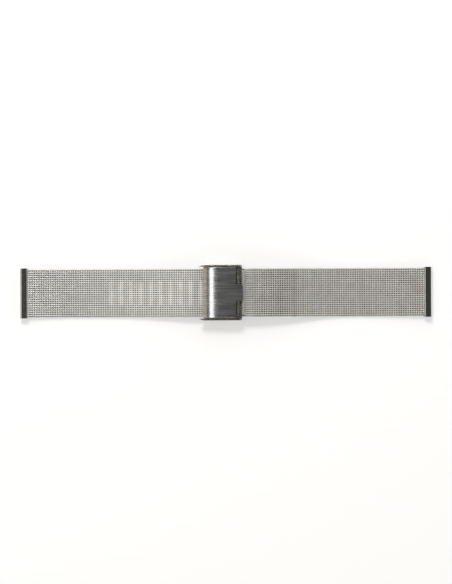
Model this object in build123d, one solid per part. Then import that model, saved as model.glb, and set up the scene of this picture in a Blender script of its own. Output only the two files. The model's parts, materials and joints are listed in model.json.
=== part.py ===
"""Mesh watch band with a sliding clasp, lying nearly flat with its outer face up.

Millimetres. +X runs along the band towards the short strap, +Z is up and out of the wrist.
Lengths along the band are counted from the middle of the clasp cover while the pieces are made.
The finished band is then moved so that its origin is under the middle of its box.
"""
from build123d import *
import os
from math import asin, cos, degrees, radians, sin

# Mesh
coil_pitch = 0.92
coil_gap = 0.10
coil_bevel_length = 0.28
coil_bevel_height = 0.36
mesh_hole_count = 10
mesh_hole_width = 0.34
mesh_hole_length = 0.8
strap_thickness = 1.2
strap_width = 19.4
coils_per_segment = 9
core_coils = 30
base_coils = 4
tail_end_coils = 5

# Adjustment grooves on the wrist side of the long strap
groove_count = 12
groove_pitch = 4.0
groove_width = 1.6
groove_length = 9.8
groove_depth = 0.3

# Path of the straps, from the clasp outwards
long_drop_shares = (15, 16, 10, 4, 1, 0, 0, 0)
long_rise_shares = (0, 0, 0, 0, 0, 1, 3, 4)
short_drop_shares = (17, 25, 24, 13, 2, 0, 0, 0)
short_rise_shares = (0, 0, 0, 0, 0, 2, 3, 4)
tail_drop_shares = (14, 9)

# End caps and the tubes for the watch's spring bars
cap_overhang = 0.3
cap_height = 2.6
cap_wall = 0.3
cap_edge_radius = 0.55
cap_tuck = 0.6
cap_slot_play = 0.05
tube_outer_radius = 1.0
tube_bore_radius = 0.8
tube_play = 0.01
tube_strap_gap = 0.1

# Clasp frame
clasp_lift = 0.9
frame_wall = 0.8
frame_side_play = 0.6
frame_front_inset = 0.1
ear_reach = 1.6
ear_nose_radius = 0.9
ear_taper_length = 2.2
ear_tip_thickness = 0.25
wall_top_rise = 0.95
rail_thickness = 0.35
rail_play = 0.25
deck_thickness = 0.5
strap_play_low = 0.1
strap_play_high = 0.15
wall_edge_radius = 0.2

# Hooks, leaning back over the catch loop's bar
hook_lean = 30.0
hook_thickness = 0.5
hook_width = 2.2
hook_inner_y = 2.6
hook_reach = 0.5
hook_play = 0.06

# Clasp cover
cover_half_length = 7.8
cover_side_play = 0.1
cover_thickness = 0.7
cover_curl_length = 6.0
cover_crown = 0.3
cover_edge_radius = 0.3
cover_barrel_radius = 0.85
cover_barrel_inset = 0.05
cover_headroom = 0.9
skirt_thickness = 0.6
skirt_back_inset = 2.8
skirt_window_gap = 0.5
skirt_play = 0.2
window_length = 2.4
tongue_half_width = 3.2
lip_thickness = 0.6
lip_depth = 0.15
hinge_pin_radius = 0.45
hinge_gap = 0.2
pin_play = 0.03
pin_head_inset = 0.05

# Lock flap, its pin and the guide bar
lock_barrel_radius = 0.65
lock_pin_radius = 0.4
lock_pin_inset = 1.5
flap_thickness = 0.6
flap_side_inset = 0.8
flap_front_inset = 2.5
flap_tab_length = 0.8
flap_tab_half_width = 3.0
rib_width = 1.2
rib_length = 9.2
rib_play = 0.05
rib_back = 0.7
guide_bar_radius = 0.4
guide_bar_inset = 1.0

# Catch loop and the folded end of the short strap
loop_bar_radius = 0.35
loop_bar_inset = 1.8
loop_length = 2.5
loop_side_inset = 0.3
loop_arm_width = 0.5
loop_play = 0.15
fold_thickness = 0.5
fold_play = 0.05
fold_length = 3.0
fold_flat_length = 1.6

# Tail tip
tip_length = 1.5
tip_wall = 0.05

# Cuts run past the faces that they open by this much
overrun = 1.0

# Sizes that follow
coil_width = coil_pitch - coil_gap
strap_half = strap_thickness / 2
cap_length = cap_tuck + tube_strap_gap + 2 * tube_outer_radius + cap_wall
segment_length = coil_pitch * coils_per_segment
lock_pin_z = clasp_lift + lock_barrel_radius
strap_low_z = lock_pin_z + lock_barrel_radius + strap_play_low
core_z = strap_low_z + strap_half
strap_high_z = core_z + strap_half
deck_low_z = strap_high_z + strap_play_high
deck_high_z = deck_low_z + deck_thickness
hinge_z = strap_high_z + hinge_gap + cover_barrel_radius
hinge_x = cover_barrel_radius + cover_barrel_inset - cover_half_length
loop_z = deck_high_z + loop_play + loop_bar_radius
cover_low_z = loop_z + loop_bar_radius + cover_headroom
cover_high_z = cover_low_z + cover_thickness
deck_back = hinge_x + cover_barrel_radius + hinge_gap
strap_edge = strap_width / 2
cap_width = strap_width + 2 * cap_overhang
frame_inner = strap_edge + frame_side_play
frame_half_width = frame_inner + frame_wall
frame_front = cover_half_length - frame_front_inset
ear_tip = cover_half_length + ear_reach
rail_inner = strap_edge + rail_play
cover_half_width = frame_inner - cover_side_play
skirt_back = cover_half_length - skirt_back_inset
skirt_front = cover_half_length - window_length - skirt_window_gap
lock_pin_back = cover_half_length - lock_pin_inset
flap_half_width = strap_edge - flap_side_inset
flap_front = cover_half_length - flap_front_inset
guide_bar_front = cover_half_length - guide_bar_inset
loop_half_width = strap_edge - loop_side_inset
loop_back_x = cover_half_length - loop_bar_inset
loop_fold_x = loop_back_x + loop_length
fold_end_x = loop_fold_x + fold_length
short_start_x = fold_end_x + base_coils * coil_pitch
core_start_x = short_start_x - core_coils * coil_pitch
cap_mid_z = cap_height / 2
first_groove_x = -rib_back


def in_profile(x, z, turn=0):
    """Place on the band's side view, where the sketch's second axis is up."""
    return Plane.XZ * Pos(x, z, 0) * Rot(0, 0, turn)


def across(profile, low_y, high_y):
    """Solid with a side-view profile, between two places across the band."""
    return Pos(0, high_y, 0) * extrude(profile, amount=high_y - low_y, dir=(0, -1, 0))


def both_sides(solid):
    """The solid and its mirror image across the band."""
    return [solid, mirror(solid, about=Plane.XZ)]


def block(low, high):
    """Box between two corners."""
    size = [top - bottom for bottom, top in zip(low, high)]
    return Pos(*low) * Box(*size, align=(Align.MIN, Align.MIN, Align.MIN))


def rod(x, z, radius, half_length):
    """Round bar across the band."""
    return across(in_profile(x, z) * Circle(radius), -half_length, half_length)


def path_steps(drop, rise, drops, rises, length):
    """Height change of each strap segment, going outwards, and the tilt that gives it."""
    steps = []
    for down, up in zip(drops, rises):
        change = rise * up / sum(rises) - drop * down / sum(drops)
        steps.append((change, asin(change / length)))
    return steps


def strap_points(start_x, start_z, side, steps, length):
    """Hinge points of a strap with the tilt of the segment that starts at each."""
    points = []
    x = start_x
    z = start_z
    for change, tilt in steps:
        points.append((x, z, tilt))
        x += side * length * cos(tilt)
        z += change
    return points, (x, z)


def coil_profile():
    """Section of a flattened coil, with the bevels that let its neighbours tilt."""
    side_x = coil_width / 2
    flat_x = side_x - coil_bevel_length
    side_z = strap_half - coil_bevel_height
    outline = Polyline(
        (side_x, -side_z),
        (side_x, side_z),
        (flat_x, strap_half),
        (-flat_x, strap_half),
        (-side_x, side_z),
        (-side_x, -side_z),
        (-flat_x, -strap_half),
        (flat_x, -strap_half),
        close=True,
    )
    return make_face(outline)


def coil_bar():
    """One flattened coil as a bar, with half of each mesh opening beside it."""
    bar = across(Plane.XZ * coil_profile(), -strap_edge, strap_edge)
    hole_pitch = strap_width / mesh_hole_count
    hole = Box(mesh_hole_width, mesh_hole_length, strap_thickness + overrun)
    holes = []
    for number in range(mesh_hole_count):
        hole_y = (number + 1 / 2) * hole_pitch - strap_edge
        for side in (-1, 1):
            holes.append(Pos(side * coil_pitch / 2, hole_y, 0) * hole)
    return bar - holes


def coil_row(x, z, tilt, side, count, start_reach=None):
    """Flattened coils of one strap segment, each a separate bar.

    With start_reach, the distance of the segment's start from the core's reference, the bars
    also carry the adjustment grooves that fall on them.
    """
    bars = []
    plain_bar = coil_bar()
    for index in range(count):
        reach = (index + 1 / 2) * coil_pitch
        bar_x = x + side * reach * cos(tilt)
        bar_z = z + reach * sin(tilt)
        bar = Pos(bar_x, 0, bar_z) * Rot(0, -degrees(side * tilt), 0) * plain_bar
        if start_reach is not None:
            bar = grooved(bar, x, z, tilt, side, start_reach, reach)
        bars.append(bar)
    return bars


def grooved(bar, x, z, tilt, side, start_reach, reach):
    """One coil bar less the grooves that reach it."""
    for number in range(groove_count):
        groove_reach = number * groove_pitch - start_reach
        if abs(groove_reach - reach) < (groove_width + coil_width) / 2:
            groove_x = x + side * groove_reach * cos(tilt)
            groove_z = z + groove_reach * sin(tilt)
            cutter = Box(groove_width, groove_length, groove_depth + overrun)
            cutter = Pos(0, 0, groove_depth / 2 - overrun / 2 - strap_half) * cutter
            bar -= Pos(groove_x, 0, groove_z) * Rot(0, -degrees(side * tilt), 0) * cutter
    return bar


def end_cap(inner_x, side):
    """Polished bar folded round the lug tube and the end of the mesh."""
    outer_x = inner_x + side * cap_length
    mid_x = (inner_x + outer_x) / 2
    tube_x = outer_x - side * (cap_wall + tube_outer_radius)
    outline = RectangleRounded(cap_length, cap_height, cap_edge_radius)
    seat = Circle(tube_outer_radius + tube_play)
    slot_height = strap_thickness + 2 * cap_slot_play
    slot_length = abs(inner_x - tube_x) + overrun
    slot = Pos(-side * slot_length / 2, 0) * Rectangle(slot_length, slot_height)
    profile = Pos(mid_x, cap_mid_z) * outline - Pos(tube_x, cap_mid_z) * (seat + slot)
    return across(Plane.XZ * profile, -cap_width / 2, cap_width / 2)


def lug_tube(inner_x, side):
    """Sleeve for the spring bar."""
    tube_x = inner_x + side * (cap_length - cap_wall - tube_outer_radius)
    ring = Circle(tube_outer_radius) - Circle(tube_bore_radius)
    return across(in_profile(tube_x, cap_mid_z) * ring, -cap_width / 2, cap_width / 2)


def frame_wall_side():
    """Side wall of the clasp with its hinge ear, which narrows to the back."""
    top_z = hinge_z + wall_top_rise
    nose_x = ear_nose_radius - ear_tip
    body = Polyline(
        (nose_x, hinge_z - ear_nose_radius),
        (-lock_pin_back - lock_barrel_radius, clasp_lift),
        (frame_front, clasp_lift),
        (frame_front, loop_z),
        (frame_front - lip_thickness, top_z),
        (hinge_x, top_z),
        (nose_x, hinge_z + ear_nose_radius),
        close=True,
    )
    side_view = make_face(body) + Pos(nose_x, hinge_z) * Circle(ear_nose_radius)
    wall = across(Plane.XZ * side_view, frame_inner, frame_half_width)
    taper = Polyline(
        (-ear_tip - overrun, frame_inner + ear_tip_thickness),
        (-ear_tip, frame_inner + ear_tip_thickness),
        (-ear_tip + ear_taper_length, frame_half_width),
        (-ear_tip + ear_taper_length, frame_half_width + overrun),
        (-ear_tip - overrun, frame_half_width + overrun),
        close=True,
    )
    wall -= extrude(make_face(taper), amount=cover_high_z, dir=(0, 0, 1))
    outer_rims = wall.faces().sort_by(Axis.Y)[-1].outer_wire().edges()
    return fillet(outer_rims, wall_edge_radius)


def hook():
    """Tab bent up from the deck, leaning back over the loop's bar."""
    near = loop_bar_radius + hook_play
    far = near + hook_thickness
    lean = radians(hook_lean)
    foot_z = deck_low_z + deck_thickness / 2

    def point(out, along):
        x = loop_back_x + out * cos(lean) - along * sin(lean)
        z = loop_z + out * sin(lean) + along * cos(lean)
        return (x, z)

    def foot(out):
        return (foot_z - loop_z - out * sin(lean)) / cos(lean)

    outline = Polyline(
        point(near, foot(near)),
        point(near, hook_reach),
        point(far, hook_reach),
        point(far, foot(far)),
        close=True,
    )
    return across(Plane.XZ * make_face(outline), hook_inner_y, hook_inner_y + hook_width)


def clasp_frame():
    """Tray with two walls, rails beside the strap, the deck over it and the hooks."""
    wall = frame_wall_side()
    rail_high = (frame_front, frame_inner + rail_thickness, deck_high_z)
    rail = block((deck_back, rail_inner, clasp_lift), rail_high)
    deck = block((deck_back, -frame_inner, deck_low_z), (frame_front, frame_inner, deck_high_z))
    frame = deck
    for piece in both_sides(wall) + both_sides(rail) + both_sides(hook()):
        frame += piece
    frame -= rod(hinge_x, hinge_z, hinge_pin_radius + pin_play, frame_half_width + overrun)
    frame -= rod(-lock_pin_back, lock_pin_z, lock_pin_radius + pin_play, frame_half_width + overrun)
    frame -= rod(guide_bar_front, guide_bar_z(), guide_bar_radius + pin_play, frame_half_width + overrun)
    return frame


def guide_bar_z():
    """Height of the guide bar, just under the strap."""
    return strap_low_z - strap_play_low - guide_bar_radius


def pin_half_length():
    """Pins end just inside the outer faces of the walls."""
    return frame_half_width - pin_head_inset


def cover_band():
    """Sheet of the cover: nearly flat, curled down at the back onto the hinge barrel."""
    curl_x = cover_curl_length - cover_half_length
    curl_height = cover_high_z - hinge_z
    inner_length = cover_curl_length - cover_thickness
    inner_height = curl_height - cover_thickness
    front = cover_half_length
    front_high = cover_high_z - cover_crown
    front_low = cover_low_z - cover_crown
    center = (curl_x, hinge_z)
    quarter = {"start_angle": 90, "arc_size": 90}
    outer_curl = EllipticalCenterArc(center, cover_curl_length, curl_height, **quarter)
    inner_curl = EllipticalCenterArc(center, inner_length, inner_height, **quarter)
    outer_top = TangentArc((curl_x, cover_high_z), (front, front_high), tangent=(1, 0))
    inner_top = TangentArc((curl_x, cover_low_z), (front, front_low), tangent=(1, 0))
    front_edge = Line((front, front_low), (front, front_high))
    back_edge = Line(outer_curl @ 1, inner_curl @ 1)
    sheet = make_face(Curve() + [outer_curl, outer_top, front_edge, inner_top, inner_curl, back_edge])
    band = across(Plane.XZ * sheet, -cover_half_width, cover_half_width)
    rims = [edge for edge in band.edges() if on_cover_rim(edge)]
    return fillet(rims, cover_edge_radius)


def on_cover_rim(edge):
    """True for the outer side edges of the cover, which are rounded."""
    middle = edge @ (1 / 2)
    beside = abs(abs(middle.Y) - cover_half_width) < cover_edge_radius / 2
    bent = edge.geom_type != GeomType.LINE
    back_x = min((edge @ 0).X, (edge @ 1).X)
    on_top = middle.Z > cover_low_z + cover_thickness / 4
    on_curl = back_x < cover_thickness / 2 - cover_half_length
    return beside and bent and (on_top or on_curl)


def clasp_cover():
    """Brushed lid with its hinge barrel, side skirts, tongue and two corner windows."""
    cover = cover_band()
    cover += rod(hinge_x, hinge_z, cover_barrel_radius, cover_half_width)
    window_back = cover_half_length - window_length
    window_low = (window_back, tongue_half_width, cover_low_z - overrun)
    window_high = (cover_half_length + overrun, cover_half_width + overrun, cover_high_z + overrun)
    skirt_low = (-skirt_back, cover_half_width - skirt_thickness, deck_high_z + skirt_play)
    skirt_high = (skirt_front, cover_half_width, cover_low_z)
    for piece in both_sides(block(window_low, window_high)):
        cover -= piece
    for piece in both_sides(block(skirt_low, skirt_high)):
        cover += piece
    lip_low_z = cover_low_z - cover_crown - lip_depth
    lip_low = (cover_half_length - lip_thickness, -tongue_half_width, lip_low_z)
    lip_high = (cover_half_length, tongue_half_width, cover_low_z)
    cover += block(lip_low, lip_high)
    cover -= rod(hinge_x, hinge_z, hinge_pin_radius + pin_play, cover_half_width + overrun)
    return cover


def lock_flap():
    """Plate under the strap with a barrel, a pull tab and the rib that meets a groove."""
    high_z = lock_pin_z + flap_thickness / 2
    low_z = lock_pin_z - flap_thickness / 2
    plate = block((-lock_pin_back, -flap_half_width, low_z), (flap_front, flap_half_width, high_z))
    tab_high = (flap_front + flap_tab_length, flap_tab_half_width, high_z)
    tab = block((flap_front, -flap_tab_half_width, low_z), tab_high)
    rib_low = (first_groove_x - rib_width / 2, -rib_length / 2, lock_pin_z)
    rib_high = (first_groove_x + rib_width / 2, rib_length / 2, strap_low_z - rib_play)
    rib = block(rib_low, rib_high)
    flap = plate + tab + rib + rod(-lock_pin_back, lock_pin_z, lock_barrel_radius, flap_half_width)
    return flap - rod(-lock_pin_back, lock_pin_z, lock_pin_radius + pin_play, flap_half_width + overrun)


def catch_loop():
    """Slotted loop: a bar for the hooks, two arms, and a bar that the mesh is folded round."""
    loop = rod(loop_back_x, loop_z, loop_bar_radius, loop_half_width)
    loop += rod(loop_fold_x, loop_z, loop_bar_radius, loop_half_width)
    arm_low = (loop_back_x, loop_half_width - loop_arm_width, loop_z - loop_bar_radius)
    arm_high = (loop_fold_x, loop_half_width, loop_z + loop_bar_radius)
    for piece in both_sides(block(arm_low, arm_high)):
        loop += piece
    return loop


def mesh_fold():
    """Pressed mesh, folded round the loop's inner bar, with a notch for each of the loop's arms."""
    inner_radius = loop_bar_radius + fold_play
    outer_radius = inner_radius + fold_thickness
    flat_x = fold_end_x - fold_flat_length
    outer = Polyline(
        (loop_fold_x, loop_z + outer_radius),
        (flat_x, loop_z + strap_half),
        (fold_end_x, loop_z + strap_half),
        (fold_end_x, loop_z - strap_half),
        (flat_x, loop_z - strap_half),
        (loop_fold_x, loop_z - outer_radius),
        close=True,
    )
    inner = Polyline(
        (loop_fold_x, loop_z + inner_radius),
        (flat_x, loop_z + fold_play),
        (flat_x, loop_z - fold_play),
        (loop_fold_x, loop_z - inner_radius),
        close=True,
    )
    middle = Pos(loop_fold_x, loop_z)
    profile = make_face(outer) + middle * Circle(outer_radius)
    profile -= make_face(inner) + middle * Circle(inner_radius)
    fold = across(Plane.XZ * profile, -strap_edge, strap_edge)
    notch_low = (loop_back_x, loop_half_width - loop_arm_width - fold_play, loop_z - outer_radius)
    notch_high = (loop_fold_x + inner_radius, strap_edge + overrun, loop_z + outer_radius)
    for piece in both_sides(block(notch_low, notch_high)):
        fold -= piece
    return fold


def tail_tip(x, z, tilt):
    """Crimped strip that closes the free end of the long strap."""
    strip = RectangleRounded(tip_length, strap_thickness + 2 * tip_wall, strap_half / 2)
    middle_x = x + cos(tilt) * tip_length / 2
    middle_z = z + sin(tilt) * tip_length / 2
    profile = in_profile(middle_x, middle_z, degrees(tilt)) * strip
    return across(profile, -strap_edge, strap_edge)


def strap_side(name, start_x, start_z, side, drops, rises, start_reach=None):
    """All segments of one strap with the end cap and the lug tube, and the strap's hinge points."""
    rise = cap_mid_z - strap_half
    steps = path_steps(start_z - strap_half, rise, drops, rises, segment_length)
    points, end = strap_points(start_x, start_z, side, steps, segment_length)
    nodes = {}
    for number, (x, z, tilt) in enumerate(points):
        reach = None
        if start_reach is not None:
            reach = start_reach + number * segment_length
        nodes[f"{name}_strap_{number + 1}"] = coil_row(x, z, tilt, side, coils_per_segment, reach)
    cap_x = end[0] - side * cap_tuck
    nodes[f"{name}_end_cap"] = [end_cap(cap_x, side)]
    nodes[f"{name}_lug_tube"] = [lug_tube(cap_x, side)]
    return nodes, points, cap_x + side * cap_length


def tail():
    """The long strap's free end, beneath the short strap."""
    lengths = (segment_length, tail_end_coils * coil_pitch + tip_length)
    low_z = strap_half + tip_wall
    nodes = {}
    points = []
    x = short_start_x
    z = core_z
    for number, (length, share) in enumerate(zip(lengths, tail_drop_shares)):
        change = -(core_z - low_z) * share / sum(tail_drop_shares)
        tilt = asin(change / length)
        count = coils_per_segment if number == 0 else tail_end_coils
        nodes[f"long_strap_tail_{number + 1}"] = coil_row(x, z, tilt, 1, count)
        points.append((x, z, tilt))
        if number == 1:
            tip_x = x + count * coil_pitch * cos(tilt)
            tip_z = z + count * coil_pitch * sin(tilt)
            nodes["tail_tip"] = [tail_tip(tip_x, tip_z, tilt)]
        x += length * cos(tilt)
        z += change
    return nodes, points


def clasp():
    """All pieces of the clasp and of the short strap's catch."""
    return {
        "clasp_frame": [clasp_frame()],
        "clasp_cover": [clasp_cover()],
        "cover_hinge_pin": [rod(hinge_x, hinge_z, hinge_pin_radius, pin_half_length())],
        "lock_flap": [lock_flap()],
        "lock_flap_pin": [rod(-lock_pin_back, lock_pin_z, lock_pin_radius, pin_half_length())],
        "guide_bar": [rod(guide_bar_front, guide_bar_z(), guide_bar_radius, pin_half_length())],
        "catch_loop": [catch_loop()],
        "short_strap_fold": [mesh_fold()],
    }


def main():
    core_reach = first_groove_x - core_start_x
    front_reach = first_groove_x - short_start_x
    nodes = clasp()
    nodes["long_strap_core"] = coil_row(short_start_x, core_z, 0, -1, core_coils, front_reach)
    nodes["short_strap_base"] = coil_row(fold_end_x, loop_z, 0, 1, base_coils)
    tail_nodes, tail_points = tail()
    long_nodes, long_points, long_end = strap_side(
        "long", core_start_x, core_z, -1, long_drop_shares, long_rise_shares, core_reach)
    short_nodes, short_points, short_end = strap_side(
        "short", short_start_x, loop_z, 1, short_drop_shares, short_rise_shares)
    nodes |= tail_nodes | long_nodes | short_nodes
    shift = -(long_end + short_end) / 2
    os.makedirs("parts", exist_ok=True)
    for name, solids in nodes.items():
        moved = [Pos(shift, 0, 0) * solid for solid in solids]
        export_step(Compound(children=moved), f"parts/{name}.step")
    print("band length", short_end - long_end, "nodes", len(nodes))
    print("clasp is moved by", shift)
    print("cover hinge", hinge_x + shift, hinge_z)
    print("lock flap pin", -lock_pin_back + shift, lock_pin_z)
    for title, points in (("long", long_points), ("short", short_points), ("tail", tail_points)):
        for x, z, tilt in points:
            print(title, "hinge", round(x + shift, 4), round(z, 4), "tilt", round(degrees(tilt), 2))
    tube_reach = cap_wall + tube_outer_radius
    print("tube axes", long_end + tube_reach + shift, short_end - tube_reach + shift, cap_mid_z)


main()
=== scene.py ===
"""Mesh watch band lying open on a white table, seen from straight above.

The CAD pieces of the clasp, the caps and the pins keep their shape and get a finish here.
The straps are woven again as real wire: flat coils that hook into one another, bent where the
joints bend. Metres, with +X along the band towards the short strap and +Z up.
"""

import json
from math import cos, pi, radians, sin

import bpy
import numpy as np
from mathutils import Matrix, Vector


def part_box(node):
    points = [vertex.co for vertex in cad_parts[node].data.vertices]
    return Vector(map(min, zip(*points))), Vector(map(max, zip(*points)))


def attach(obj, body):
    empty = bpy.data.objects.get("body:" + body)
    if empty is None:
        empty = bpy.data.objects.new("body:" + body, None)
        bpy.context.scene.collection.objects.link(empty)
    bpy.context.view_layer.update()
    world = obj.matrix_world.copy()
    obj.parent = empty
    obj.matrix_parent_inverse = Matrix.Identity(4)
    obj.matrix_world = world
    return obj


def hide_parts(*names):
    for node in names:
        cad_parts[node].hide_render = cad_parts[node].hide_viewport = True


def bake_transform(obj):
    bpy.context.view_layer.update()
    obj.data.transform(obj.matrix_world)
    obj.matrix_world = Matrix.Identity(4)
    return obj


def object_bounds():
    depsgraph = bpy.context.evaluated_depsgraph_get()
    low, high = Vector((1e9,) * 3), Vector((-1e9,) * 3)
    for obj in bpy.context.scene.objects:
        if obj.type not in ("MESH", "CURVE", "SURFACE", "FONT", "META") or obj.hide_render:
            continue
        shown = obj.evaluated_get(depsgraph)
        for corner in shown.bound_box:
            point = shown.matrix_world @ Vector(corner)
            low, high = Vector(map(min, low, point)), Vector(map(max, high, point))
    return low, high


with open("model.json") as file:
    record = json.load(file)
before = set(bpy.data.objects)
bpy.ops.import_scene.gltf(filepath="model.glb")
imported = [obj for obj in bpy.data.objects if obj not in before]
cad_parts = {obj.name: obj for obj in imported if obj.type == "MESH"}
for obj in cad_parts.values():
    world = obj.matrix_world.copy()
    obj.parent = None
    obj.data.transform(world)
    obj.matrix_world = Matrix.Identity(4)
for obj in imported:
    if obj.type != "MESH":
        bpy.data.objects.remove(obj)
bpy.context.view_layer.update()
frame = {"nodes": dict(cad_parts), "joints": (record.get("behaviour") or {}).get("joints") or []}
MM = 0.001

# Photograph: its size in pixels, its scale, and how the band lies in it
photo_width = 452
photo_height = 584
photo_px_per_mm = 2.5
band_middle_px = (225.9, 292.6)
band_turn_deg = 0.24

# Camera: its lens, and the height that is seen to scale as a share of the band's
lens_mm = 100.0
sensor_mm = 36.0
scale_height_share = 0.25

# Wire of the mesh
wire_radius = 0.175 * MM
wire_sides = 6
turns_across = 22
straight_spread = 1.1
bend_reach = 0.2 * MM
bend_steps = 4
bend_slip_share = 0.025
face_flat = 0.04 * MM
coil_jitter = 0.02 * MM
random_seed = 7

# Pressed places: the grooves, and the strips beside the caps, with waves in radians per coil
groove_count = 12
groove_pitch = 4.0 * MM
groove_width = 1.6 * MM
groove_length = 9.8 * MM
groove_dent = 0.16 * MM
groove_back = 0.7 * MM
press_edge = 0.35 * MM
press_widen = 0.75
press_thin = 0.35
cap_press_edge = 3 * press_edge
cap_press_middle = 0.3
cap_press_uneven = 0.3
cap_press_short_wave = 2.4
cap_press_long_wave = 0.9
long_press_length = 4.8 * MM
short_press_length = 3.2 * MM

# How the straps are cut into pieces at their joints
strap_segments = 8
tail_segments = 2
coils_per_segment = 9
tail_last_coils = 5
coils_before_split = 5
rigid_side_coils = 2

# Folded end of the short strap, and the notch that the catch loop's arms leave in it
fold_wire_radius = 0.14 * MM
fold_pitch = 0.74 * MM
fold_sheet_thickness = 0.5 * MM
fold_flare = 1.9
fold_jitter = 2 * coil_jitter
notch_side_gap = 0.55 * MM
notch_depth = 0.4 * MM

# Steel: painted shade in the mesh and on the cover's edges, noise in features per metre, and relief
openness_dark = 0.62
openness_light = 0.97
edge_shade_lean_start = 0.1
edge_shade_lean_full = 0.35
noise_low = 0.3
noise_high = 0.7
coarse_detail = 3.0
fine_detail = 2.0
wire_mottle = 260.0
wire_grain = 2600.0
satin_mottle = 225.0
satin_grain = 2700.0
brush_bands = (90, 1500, 90)
brush_lines = (110, 5200, 110)
brush_spread = 0.45
relief_depth = 0.01 * MM
wire_relief = 0.3
brush_relief = 0.35

# Floor and lamps, with shares of the light on the floor
floor_half_size = 3.0
floor_albedo = 0.8
floor_warmth = 0.99
floor_glow = 0.345
key_distance = 1.2
key_elevation_deg = 47.0
key_azimuth_deg = 103.0
key_size = 0.30
key_share = 0.31
strip_distance = 1.06
strip_angle_deg = 20.1
strip_width = 0.225
strip_length = 0.9
strip_share = 0.14

# Room: pale, with a dark patch above and a beige wall at the left
sky_pale = (1.25, 1.235, 1.205)
sky_beige = (0.60, 0.55, 0.46)
sky_dark = (0.06, 0.06, 0.06)
dark_axis_deg = 8.0
dark_inner_deg = 46.0
dark_outer_deg = 58.0
beige_start = 0.45
beige_full = 0.75

rng = np.random.default_rng(random_seed)


# Helpers


def names(pattern, count):
    """Names with a running number."""
    return [pattern.format(number) for number in range(1, count + 1)]


def add_object(name, data):
    """New object in the scene."""
    obj = bpy.data.objects.new(name, data)
    bpy.context.scene.collection.objects.link(obj)
    return obj


# Frame measurements


def joint_point(name):
    """Place of a joint at rest."""
    joint = next(j for j in frame["joints"] if j["name"] == name)
    return Vector(joint["pos_m"])


def box_middle(node):
    """Middle of a CAD node's box."""
    low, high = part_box(node)
    return (low + high) / 2


core_low, core_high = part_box("long_strap_core")
strap_half = (core_high.z - core_low.z) / 2
strap_width = core_high.y - core_low.y
wire_half_length = strap_width / 2 - wire_radius
turn_pitch = (strap_width - 2 * wire_radius) / turns_across

long_start = joint_point("long_flex_1")
short_start = joint_point("short_flex_1")
tail_start = joint_point("tail_flex_1")
long_end = Vector((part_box(f"long_strap_{strap_segments}")[0].x, 0, box_middle("long_end_cap").z))
short_end = Vector((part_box(f"short_strap_{strap_segments}")[1].x, 0, box_middle("short_end_cap").z))
tail_end = Vector((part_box("tail_tip")[0].x, 0, box_middle("tail_tip").z))

coil_pitch = (joint_point("long_flex_2") - long_start).length / coils_per_segment
coil_half_straight = coil_pitch * straight_spread / 2
coil_half_height = strap_half + face_flat - wire_radius
cap_reach = strap_segments * coils_per_segment * coil_pitch
first_groove_x = box_middle("clasp_cover").x - groove_back
core_groove_reach = first_groove_x - long_start.x


# Camera


def top_camera():
    """Camera straight above, at the photograph's scale."""
    data = bpy.data.cameras.new("camera")
    data.lens = lens_mm
    data.sensor_width = sensor_mm
    camera = add_object("camera", data)
    long_side = max(photo_width, photo_height) / photo_px_per_mm * MM
    distance = long_side * lens_mm / sensor_mm
    low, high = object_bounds()
    shift_x = (photo_width / 2 - band_middle_px[0]) / photo_px_per_mm * MM
    shift_y = (band_middle_px[1] - photo_height / 2) / photo_px_per_mm * MM
    camera.location = (shift_x, shift_y, distance + (low.z + high.z) * scale_height_share)
    camera.rotation_euler = (0, 0, radians(-band_turn_deg))
    bpy.context.scene.camera = camera


top_camera()


# Shader helpers


def new_material(name):
    """Empty node material with its output."""
    material = bpy.data.materials.new(name)
    material.use_nodes = True
    tree = material.node_tree
    tree.nodes.clear()
    output = tree.nodes.new("ShaderNodeOutputMaterial")
    return material, tree, output


def add_node(tree, kind, settings=None, inputs=None):
    """Node with its settings, and with values or links on its inputs."""
    node = tree.nodes.new(kind)
    for key, value in (settings or {}).items():
        setattr(node, key, value)
    for key, value in (inputs or {}).items():
        if isinstance(value, bpy.types.NodeSocket):
            tree.links.new(value, node.inputs[key])
        else:
            node.inputs[key].default_value = value
    return node


def worked_out(tree, operation, *values):
    """Result of a maths operation on these values."""
    inputs = dict(enumerate(values))
    return add_node(tree, "ShaderNodeMath", {"operation": operation}, inputs).outputs["Value"]


def facing(tree, direction, axis):
    """How far a direction faces an axis, from -1 to 1."""
    settings = {"operation": "DOT_PRODUCT"}
    return add_node(tree, "ShaderNodeVectorMath", settings, {0: direction, 1: axis}).outputs["Value"]


def mapped(tree, value, start, full, low=0.0, high=1.0, curve="LINEAR"):
    """Value mapped from start..full to low..high, and held there beyond them."""
    settings = {"interpolation_type": curve, "clamp": True}
    inputs = {"Value": value, "From Min": start, "From Max": full, "To Min": low, "To Max": high}
    return add_node(tree, "ShaderNodeMapRange", settings, inputs).outputs["Result"]


def mixed(tree, share, first, second):
    """Colour between two, each of them three numbers or a socket."""
    inputs = {0: share}
    for index, colour in ((6, first), (7, second)):
        inputs[index] = (*colour, 1) if isinstance(colour, tuple) else colour
    return add_node(tree, "ShaderNodeMix", {"data_type": "RGBA"}, inputs).outputs[2]


def noise(tree, scale, stretch=(1, 1, 1), detail=coarse_detail):
    """Noise in an object's own coordinates, with its scale in features per metre."""
    place = add_node(tree, "ShaderNodeTexCoord").outputs["Object"]
    mapping = add_node(tree, "ShaderNodeMapping", inputs={"Vector": place, "Scale": stretch})
    inputs = {"Vector": mapping.outputs["Vector"], "Scale": scale, "Detail": detail}
    return add_node(tree, "ShaderNodeTexNoise", inputs=inputs).outputs["Fac"]


def between(tree, grain, low, high):
    """Value from low to high that follows a noise."""
    return mapped(tree, grain, noise_low, noise_high, low, high)


def shaded(tree, grain, dark, light):
    """Colour from dark to light that follows a noise."""
    return mixed(tree, between(tree, grain, 0.0, 1.0), dark, light)


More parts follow.
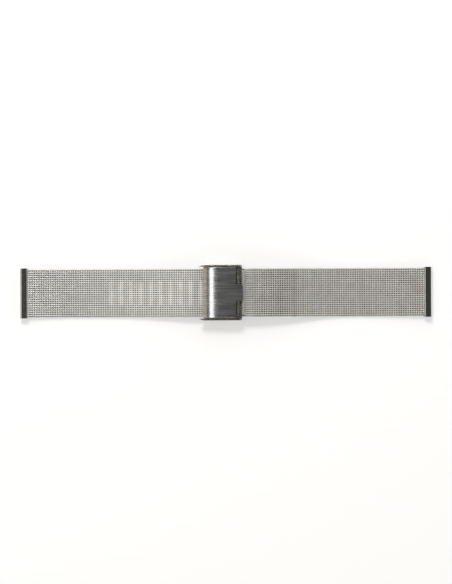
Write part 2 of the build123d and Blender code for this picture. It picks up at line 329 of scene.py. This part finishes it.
def bumped(tree, height, strength):
    """Normal of a fine relief."""
    inputs = {"Height": height, "Distance": relief_depth, "Strength": strength}
    return add_node(tree, "ShaderNodeBump", inputs=inputs).outputs["Normal"]


def surface(tree, output, inputs):
    """Principled surface with these inputs, on the material's output."""
    shader = add_node(tree, "ShaderNodeBsdfPrincipled", inputs=inputs)
    tree.links.new(shader.outputs["BSDF"], output.inputs["Surface"])


# Materials


def satin_steel(name, dark, light, rough_low, rough_high, relief):
    """Steel with a soft mottled sheen."""
    material, tree, output = new_material(name)
    mottle = noise(tree, satin_mottle)
    grain = noise(tree, satin_grain, detail=fine_detail)
    surface(tree, output, {
        "Base Color": shaded(tree, mottle, dark, light),
        "Metallic": 1.0,
        "Roughness": between(tree, grain, rough_low, rough_high),
        "Normal": bumped(tree, grain, relief),
    })
    return material


def woven_steel(name, painted_shade, dark, light, metal, rough_low, rough_high):
    """Bright wire with painted shade that darkens it towards the inside of the mesh."""
    material, tree, output = new_material(name)
    mottle = noise(tree, wire_mottle)
    grain = noise(tree, wire_grain, detail=fine_detail)
    # Painted shade: low openness, deep inside the mesh, turns the wire towards the dark colour
    openness = add_node(tree, "ShaderNodeAttribute", {"attribute_name": "openness"}).outputs["Fac"]
    unshaded_share = mapped(tree, openness, openness_dark, openness_light, curve="SMOOTHSTEP")
    surface(tree, output, {
        "Base Color": mixed(tree, unshaded_share, painted_shade, shaded(tree, mottle, dark, light)),
        "Metallic": metal,
        "Roughness": between(tree, grain, rough_low, rough_high),
        "Normal": bumped(tree, grain, wire_relief),
    })
    return material


def brushed_steel(name, dark, light, edge, rough_low, rough_high):
    """Steel brushed along the band, with painted shade where it is rounded towards its two sides."""
    material, tree, output = new_material(name)
    # Painted shade: the colour turns dark where the surface leans towards the band's sides
    normal = add_node(tree, "ShaderNodeTexCoord").outputs["Normal"]
    parts = add_node(tree, "ShaderNodeSeparateXYZ", inputs={"Vector": normal})
    lean = worked_out(tree, "ABSOLUTE", parts.outputs["Y"])
    painted_edge_shade = mapped(tree, lean, edge_shade_lean_start, edge_shade_lean_full)
    bands = noise(tree, 1.0, brush_bands)
    lines = noise(tree, 1.0, brush_lines)
    settings = {"vector_type": "VECTOR", "convert_from": "OBJECT", "convert_to": "WORLD"}
    across = add_node(tree, "ShaderNodeVectorTransform", settings, {"Vector": (0, 1, 0)})
    surface(tree, output, {
        "Base Color": mixed(tree, painted_edge_shade, shaded(tree, bands, dark, light), edge),
        "Metallic": 1.0,
        "Roughness": between(tree, lines, rough_low, rough_high),
        "Anisotropic": brush_spread,
        "Tangent": across.outputs["Vector"],
        "Normal": bumped(tree, lines, brush_relief),
    })
    return material


# Painted shade of the mesh's gaps: the near-black colour deep inside the weave
painted_gap_shade = (0.012, 0.011, 0.009)
long_steel = woven_steel("long_mesh_steel", painted_gap_shade, (0.84, 0.825, 0.785), (0.96, 0.945, 0.905),
                         metal=0.6, rough_low=0.28, rough_high=0.38)
# The short strap is a darker copy of the long strap's steel: painted shade
short_shaded_steel = woven_steel("short_mesh_shaded_steel", painted_gap_shade, (0.70, 0.675, 0.635), (0.82, 0.795, 0.755),
                          metal=0.6, rough_low=0.28, rough_high=0.38)
# The fold's first colour is the painted shade inside its folded sheet
fold_steel = woven_steel("fold_steel", (0.36, 0.35, 0.33), (0.80, 0.78, 0.74), (0.98, 0.96, 0.92),
                         metal=0.35, rough_low=0.22, rough_high=0.34)
# The cover's edge colour is the painted shade on its rounded sides
cover_steel = brushed_steel("cover_steel", (0.46, 0.46, 0.455), (0.66, 0.66, 0.65),
                            edge=(0.14, 0.135, 0.125), rough_low=0.19, rough_high=0.31)
frame_steel = satin_steel("frame_steel", (0.40, 0.375, 0.335), (0.50, 0.47, 0.42),
                          rough_low=0.20, rough_high=0.30, relief=0.12)
cap_steel = satin_steel("cap_steel", (0.60, 0.59, 0.57), (0.66, 0.65, 0.63),
                        rough_low=0.05, rough_high=0.08, relief=0.0)
pin_steel = satin_steel("pin_steel", (0.55, 0.54, 0.52), (0.64, 0.63, 0.61),
                        rough_low=0.14, rough_high=0.22, relief=0.15)
tube_steel = satin_steel("tube_steel", (0.48, 0.47, 0.45), (0.58, 0.57, 0.55),
                         rough_low=0.24, rough_high=0.34, relief=0.2)

node_finish = {
    "clasp_cover": cover_steel,
    "clasp_frame": frame_steel,
    "lock_flap": frame_steel,
    "catch_loop": frame_steel,
    "tail_tip": frame_steel,
    "cover_hinge_pin": pin_steel,
    "lock_flap_pin": pin_steel,
    "guide_bar": pin_steel,
    "long_end_cap": cap_steel,
    "short_end_cap": cap_steel,
    "long_lug_tube": tube_steel,
    "short_lug_tube": tube_steel,
}


# How flat the wire is pressed


def smooth_inside(distance, limit, edge):
    """One inside the limit, zero outside, with a soft edge."""
    t = np.clip((limit + edge / 2 - distance) / edge, 0, 1)
    return t * t * (3 - 2 * t)


def groove_press(reach, across):
    """How far the wire is pressed flat by the grooves, from 0 to 1."""
    number = np.clip(np.round(reach / groove_pitch), 0, groove_count - 1)
    along = smooth_inside(np.abs(reach - number * groove_pitch), groove_width / 2, press_edge)
    return along * smooth_inside(np.abs(across), groove_length / 2, press_edge)


def cap_press(reach, length):
    """Uneven pressing of the strip beside a cap."""
    inside = smooth_inside(cap_reach - reach, length, cap_press_edge)
    coils_out = reach / coil_pitch
    uneven = np.sin(coils_out * cap_press_short_wave) * np.sin(coils_out * cap_press_long_wave)
    return inside * (cap_press_middle + cap_press_uneven * uneven)


def long_press(reach, across):
    """Pressing and lift of the long strap: its grooves and the strip beside its cap."""
    groove = groove_press(reach + core_groove_reach, across)
    return np.maximum(groove, cap_press(reach, long_press_length)), groove * groove_dent


def short_press(reach, across):
    """Pressing and lift of the short strap: the strip beside its cap."""
    return cap_press(reach, short_press_length), np.zeros_like(reach)


def no_press(reach, across):
    """Mesh that isn't pressed anywhere."""
    return np.zeros_like(reach), np.zeros_like(reach)


# Woven wire


def unit(vectors):
    """Vectors at length one."""
    return vectors / np.linalg.norm(vectors, axis=1, keepdims=True)


def coil_path(half_length, half_straight, half_height):
    """Middle line of the wire round one flat coil, and the way out of the coil at each point.

    Bends at the left and the right take turns, with a straight across the coil after each, which
    leans so that the next coil's wires lie between this one's.
    """
    angle = np.linspace(pi / 2, -pi / 2, bend_steps + 1)
    reach = half_straight + bend_reach * np.cos(angle)
    slip = bend_slip_share * turn_pitch * np.sin(angle)
    bend = np.stack([reach, slip, half_height * np.sin(angle)], axis=1)
    bend_out = np.stack([half_height * np.cos(angle), 0 * angle, bend_reach * np.sin(angle)], axis=1)
    half_turn = np.vstack([bend, (0, turn_pitch / 4, -half_height)])
    out = unit(np.vstack([bend_out, (0, 0, -1)]))
    number = np.arange(round(4 * half_length / turn_pitch) + 1)[:, None, None]
    side = np.where(number % 2 == 0, -1, 1)
    flip = np.concatenate([side, np.ones_like(side), -side], axis=2)
    rise = number * turn_pitch / 2 - half_length
    line = half_turn * flip + rise * np.array((0, 1, 0))
    return line.reshape(-1, 3)[:-1], (out * flip).reshape(-1, 3)[:-1]


def coil_wire(place, tilt, side, half_length, half_straight, half_height, radius, press):
    """Rings of wire round one flat coil; each point is x, y, z and its openness.

    place is the coil's middle, tilt its slope outwards and side the way it faces. half_length is
    half the coil across the band, half_straight half its straight along the band, and
    half_height half the height between its wires' middles. press gives, for distances along and
    across the band, how flat the wire is pressed and its lift. Openness is 0 inside the mesh and
    1 at its faces and its side edges.
    """
    line, out = coil_path(half_length, half_straight, half_height)
    flat, lift = press(line[:, 0], line[:, 1])
    squash = 1 - press_thin * flat
    line[:, 2] = line[:, 2] * squash + lift
    ahead = unit(np.gradient(line, axis=0))
    out = unit(out - ahead * (out * ahead).sum(axis=1, keepdims=True))
    beside = np.cross(ahead, out)
    angle = 2 * pi * (np.arange(wire_sides) + 0.5) / wire_sides
    thick = (radius * squash)[:, None, None]
    wide = (radius * (1 + press_widen * flat))[:, None, None]
    ring = line[:, None, :] + np.cos(angle)[None, :, None] * wide * beside[:, None, :]
    ring = ring + np.sin(angle)[None, :, None] * thick * out[:, None, :]
    limit = half_height + radius - face_flat
    ring[..., 2] = np.clip(ring[..., 2], -limit, limit)
    depth = np.abs(ring[..., 2] - lift[:, None])
    depth_share = np.clip(depth / (limit * squash[:, None]), 0, 1)
    edge_share = smooth_inside(half_length - np.abs(ring[..., 1]), turn_pitch / 4, turn_pitch / 2)
    turned = np.empty((*ring.shape[:2], 4))
    turned[..., 0] = place[0] + ring[..., 0] * cos(tilt) - ring[..., 2] * sin(tilt) * side
    turned[..., 1] = place[1] + ring[..., 1]
    turned[..., 2] = place[2] + ring[..., 0] * sin(tilt) * side + ring[..., 2] * cos(tilt)
    # Openness sets where the material paints shade inside the mesh
    turned[..., 3] = np.maximum(depth_share, edge_share)
    return turned


def woven_object(name, coils, material):
    """One mesh object out of the rings of several coils."""
    points = []
    faces = []
    start = 0
    for rings in coils:
        count = len(rings)
        index = start + np.arange(count * wire_sides).reshape(count, wire_sides)
        after = np.roll(index, -1, axis=1)
        quads = np.stack([index[:-1], index[1:], after[1:], after[:-1]], axis=2)
        faces += quads.reshape(-1, 4).tolist()
        faces.append(index[0].tolist())
        faces.append(index[-1][::-1].tolist())
        points.append(rings.reshape(-1, 4))
        start += count * wire_sides
    points = np.concatenate(points)
    mesh = bpy.data.meshes.new(name)
    mesh.from_pydata(points[:, :3].tolist(), [], faces)
    mesh.polygons.foreach_set("use_smooth", [True] * len(mesh.polygons))
    mesh.attributes.new("openness", "FLOAT", "POINT").data.foreach_set("value", points[:, 3])
    mesh.materials.append(material)
    return add_object(name, mesh)


class Strap:
    """Coils of one strap, outwards from where it leaves the rigid mesh of the clasp."""

    def __init__(self, joints, end, side, press, steel):
        self.side = side
        self.press = press
        self.steel = steel
        self.points = [joint_point(name) for name in joints] + [end]
        spans = [far - near for near, far in zip(self.points, self.points[1:])]
        self.tilts = [np.arcsin(span.z / span.length) for span in spans]
        self.starts = np.concatenate([[0], np.cumsum([span.length for span in spans])])

    def centre(self, reach):
        """Place of the strap's middle at a distance outwards; a negative one is on the rigid mesh."""
        if reach < 0:
            return self.points[0] + Vector((self.side * reach, 0, 0))
        number = min(int(np.searchsorted(self.starts, reach, side="right")) - 1, len(self.tilts) - 1)
        near, far = self.points[number], self.points[number + 1]
        share = (reach - self.starts[number]) / (self.starts[number + 1] - self.starts[number])
        return near + (far - near) * share

    def tilt(self, reach):
        """Slope of the strap, smoothed from segment to segment."""
        middles = (self.starts[:-1] + self.starts[1:]) / 2
        known = np.concatenate([[-middles[0]], middles])
        return float(np.interp(reach, known, [0.0, *self.tilts]))

    def coil(self, index):
        """Rings of the coil with this number, where negative ones are on the rigid mesh."""
        reach = (index + 0.5) * coil_pitch
        spot = self.centre(reach) + Vector((0, rng.normal() * coil_jitter, 0))
        tilt = self.tilt(reach) if reach > 0 else 0.0

        def press_here(along, across):
            return self.press(reach + along * self.side, across)

        return coil_wire(spot, tilt, self.side, wire_half_length, coil_half_straight,
                         coil_half_height, wire_radius, press_here)

    def coils(self, first, last):
        """Rings of the coils from first up to, not including, last."""
        return [self.coil(index) for index in range(first, last)]

    def point(self, index):
        """Place at a coil's start."""
        return self.centre(index * coil_pitch)


def hang(piece, bodies, nodes):
    """The piece rides on one body, or is baked in place if it spans two, and stands for its CAD
    nodes.
    """
    if len(bodies) == 1:
        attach(piece, bodies[0])
    else:
        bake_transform(piece)
    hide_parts(*nodes)


def weave_strap(name, strap, body, node, next_nodes, last_coils):
    """Pieces of a strap from its rigid body and node, each centred on a joint and spanning it."""
    first = -rigid_side_coils
    for number, next_node in enumerate(next_nodes, start=1):
        joint_coil = (number - 1) * coils_per_segment
        coils_here = last_coils if number == len(next_nodes) else coils_per_segment
        split = joint_coil + min(coils_before_split, coils_here // 2 + 1)
        piece = woven_object(f"{name}_mesh_{number}", strap.coils(first, split), strap.steel)
        next_body = f"{name}_{number}"
        start = strap.point(max(first, joint_coil - coils_per_segment / 2))
        end = strap.point(joint_coil + coils_here / 2)
        hang(piece, [body, next_body], [node, next_node])
        body = next_body
        node = next_node
        first = split
    last = (len(next_nodes) - 1) * coils_per_segment + last_coils
    piece = woven_object(f"{name}_mesh_end", strap.coils(first, last), strap.steel)
    hang(piece, [body], [node])


def weave_core(strap):
    """Rigid stretch of the long strap inside the clasp."""
    count = round((tail_start.x - long_start.x) / coil_pitch)
    coils = [strap.coil(-1 - index) for index in range(rigid_side_coils, count - rigid_side_coils)]
    piece = woven_object("core_mesh", coils, strap.steel)
    hang(piece, ["core"], ["long_strap_core"])


def weave_fold():
    """Pressed end of the short strap, folded round the catch loop."""
    fold_low, fold_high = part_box("short_strap_fold")
    loop_low, loop_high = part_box("catch_loop")
    middle_z = (fold_low.z + fold_high.z) / 2
    sheet_half = fold_sheet_thickness / 2
    bend_radius = (fold_high.z - fold_low.z) / 2 - sheet_half
    bar_x = fold_low.x + bend_radius + sheet_half
    straight = fold_high.x - bar_x
    total = 2 * straight + pi * bend_radius
    notch_half_length = (loop_high.y - loop_low.y) / 2 - notch_side_gap
    count = round(total / fold_pitch)
    coils = []
    for index in range(count):
        reach = (index + 0.5) * total / count
        if straight <= reach <= total - straight:
            tilt = (reach - straight) / bend_radius
            spot = Vector((bar_x - bend_radius * sin(tilt), 0, middle_z + bend_radius * cos(tilt)))
        else:
            tilt = 0.0
            upper = reach < straight
            left = reach if upper else total - reach
            flare = min(1, (straight - left) / straight * fold_flare)
            layer = bend_radius + (strap_half / 2 - bend_radius) * flare
            spot = Vector((fold_high.x - left, 0, middle_z + (layer if upper else -layer)))
        half_length = wire_half_length if spot.x > bar_x + notch_depth else notch_half_length
        wobble = Vector((rng.normal() * fold_jitter, 0, 0))
        coils.append(coil_wire(spot + wobble, tilt, 1, half_length, fold_pitch / 2,
                               sheet_half - fold_wire_radius, fold_wire_radius, no_press))
    piece = woven_object("fold_mesh", coils, fold_steel)
    hang(piece, ["catch"], ["short_strap_fold"])


def weave_base(strap):
    """Rigid coils of the short strap, between its folded end and its first joint."""
    fold_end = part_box("short_strap_fold")[1]
    count = round((short_start.x - fold_end.x) / coil_pitch)
    piece = woven_object("base_mesh", strap.coils(-count, -rigid_side_coils), strap.steel)
    hang(piece, ["catch"], ["short_strap_base"])


long_strap = Strap(names("long_flex_{}", strap_segments), long_end, -1, long_press, long_steel)
short_strap = Strap(names("short_flex_{}", strap_segments), short_end, 1, short_press, short_shaded_steel)
tail_strap = Strap(names("tail_flex_{}", tail_segments), tail_end, 1, no_press, long_steel)

weave_strap("long", long_strap, "core", "long_strap_core",
            names("long_strap_{}", strap_segments), coils_per_segment)
weave_strap("short", short_strap, "catch", "short_strap_base",
            names("short_strap_{}", strap_segments), coils_per_segment)
weave_strap("tail", tail_strap, "core", "long_strap_core",
            names("long_strap_tail_{}", tail_segments), tail_last_coils)
weave_core(long_strap)
weave_fold()
weave_base(short_strap)


# Finish of the CAD pieces

for name, material in node_finish.items():
    mesh = frame["nodes"][name].data
    mesh.materials.clear()
    mesh.materials.append(material)


# Floor, world and lamps


def white_floor():
    """White table that keeps the band's shadow, and glows where it is seen or mirrored."""
    corners = [(-1, -1), (1, -1), (1, 1), (-1, 1)]
    points = [(x * floor_half_size, y * floor_half_size, 0) for x, y in corners]
    mesh = bpy.data.meshes.new("floor")
    mesh.from_pydata(points, [], [(0, 1, 2, 3)])
    floor = add_object("floor", mesh)
    material, tree, output = new_material("white_table")
    colour = (floor_albedo, floor_albedo, floor_albedo * floor_warmth, 1)
    diffuse = add_node(tree, "ShaderNodeBsdfDiffuse", inputs={"Color": colour})
    rays = add_node(tree, "ShaderNodeLightPath").outputs
    seen = worked_out(tree, "MAXIMUM", rays["Is Camera Ray"], rays["Is Glossy Ray"])
    seen = worked_out(tree, "MAXIMUM", seen, rays["Is Transmission Ray"])
    glow = worked_out(tree, "MULTIPLY", seen, floor_glow)
    emission = add_node(tree, "ShaderNodeEmission", inputs={"Strength": glow})
    inputs = {0: diffuse.outputs["BSDF"], 1: emission.outputs["Emission"]}
    both = add_node(tree, "ShaderNodeAddShader", inputs=inputs)
    tree.links.new(both.outputs["Shader"], output.inputs["Surface"])
    mesh.materials.append(material)


def studio_world():
    """Pale room with a dark ceiling, which is what the polished steel shows."""
    world = bpy.data.worlds.new("studio")
    world.use_nodes = True
    tree = world.node_tree
    tree.nodes.clear()
    output = tree.nodes.new("ShaderNodeOutputWorld")
    direction = add_node(tree, "ShaderNodeTexCoord").outputs["Generated"]
    dark_axis = (sin(radians(dark_axis_deg)), 0, cos(radians(dark_axis_deg)))
    dark_share = mapped(tree, facing(tree, direction, dark_axis), cos(radians(dark_outer_deg)),
                        cos(radians(dark_inner_deg)), curve="SMOOTHSTEP")
    beige_share = mapped(tree, facing(tree, direction, (-1, 0, 0)), beige_start, beige_full)
    walls = mixed(tree, beige_share, sky_pale, sky_beige)
    inputs = {"Color": mixed(tree, dark_share, walls, sky_dark), "Strength": 1.0}
    room = add_node(tree, "ShaderNodeBackground", inputs=inputs)
    inputs = {"Color": (1, 1, 1, 1), "Strength": 1.0}
    white = add_node(tree, "ShaderNodeBackground", inputs=inputs)
    seen = add_node(tree, "ShaderNodeLightPath").outputs["Is Camera Ray"]
    inputs = {0: seen, 1: room.outputs["Background"], 2: white.outputs["Background"]}
    shown = add_node(tree, "ShaderNodeMixShader", inputs=inputs)
    tree.links.new(shown.outputs["Shader"], output.inputs["Surface"])
    bpy.context.scene.world = world


def area_lamp(name, direction, distance, width, length, share):
    """Rectangular lamp that gives a share of the light on the floor."""
    data = bpy.data.lights.new(name, "AREA")
    data.shape = "RECTANGLE"
    data.size = length
    data.size_y = width
    data.energy = share * pi * pi * distance ** 2 / direction.z
    lamp = add_object(name, data)
    lamp.location = direction * distance
    lamp.rotation_mode = "QUATERNION"
    lamp.rotation_quaternion = direction.to_track_quat("Z", "Y")
    lamp.visible_camera = False


white_floor()
studio_world()
key_azimuth = radians(key_azimuth_deg)
key_level = cos(radians(key_elevation_deg))
key_height = sin(radians(key_elevation_deg))
key_direction = Vector((cos(key_azimuth) * key_level, sin(key_azimuth) * key_level, key_height))
area_lamp("key", key_direction, key_distance, key_size, key_size, key_share)
strip_angle = radians(strip_angle_deg)
strip_direction = Vector((-sin(strip_angle), 0, cos(strip_angle)))
area_lamp("strip", strip_direction, strip_distance, strip_width, strip_length, strip_share)

bpy.context.scene.view_settings.view_transform = "Standard"
